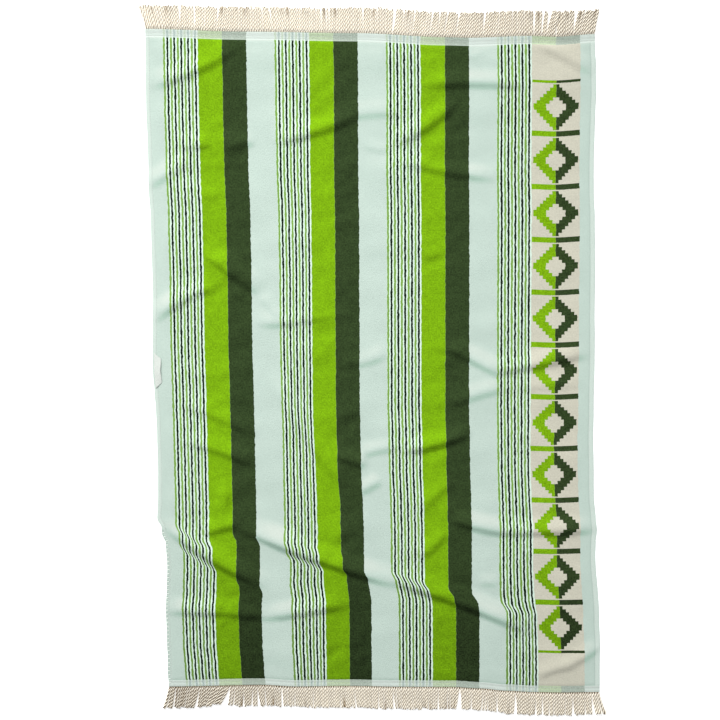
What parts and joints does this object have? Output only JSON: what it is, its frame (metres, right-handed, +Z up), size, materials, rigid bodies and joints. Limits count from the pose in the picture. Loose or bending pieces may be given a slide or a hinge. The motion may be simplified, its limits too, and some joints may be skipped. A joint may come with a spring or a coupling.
{
  "type": "fringed bath sheet, laid out flat",
  "caption": "Large striped terry bath sheet laid out flat and face up, with soft wrinkles, flat woven end hems, a cord fringe along both ends and a tape hanging loop.",
  "frame": {"origin": "middle of the box round the whole sheet in plan, on the surface that it lies on", "axes": "+X across the sheet, +Y along it towards its top end, +Z up from the surface"},
  "size_m": [1.0504, 1.615, 0.017],
  "materials": {
    "terry": "sheared cotton terry, matt, woven in stripes of mint, lime and dark green",
    "cord": "natural cotton twist, matt",
    "tape": "white cotton twill tape, matt"
  },
  "bodies": {
    "root": {"cloth": "terry", "fringe_top": "cord", "fringe_bottom": "cord", "hanging_loop": "tape"}
  },
  "joints": []
}
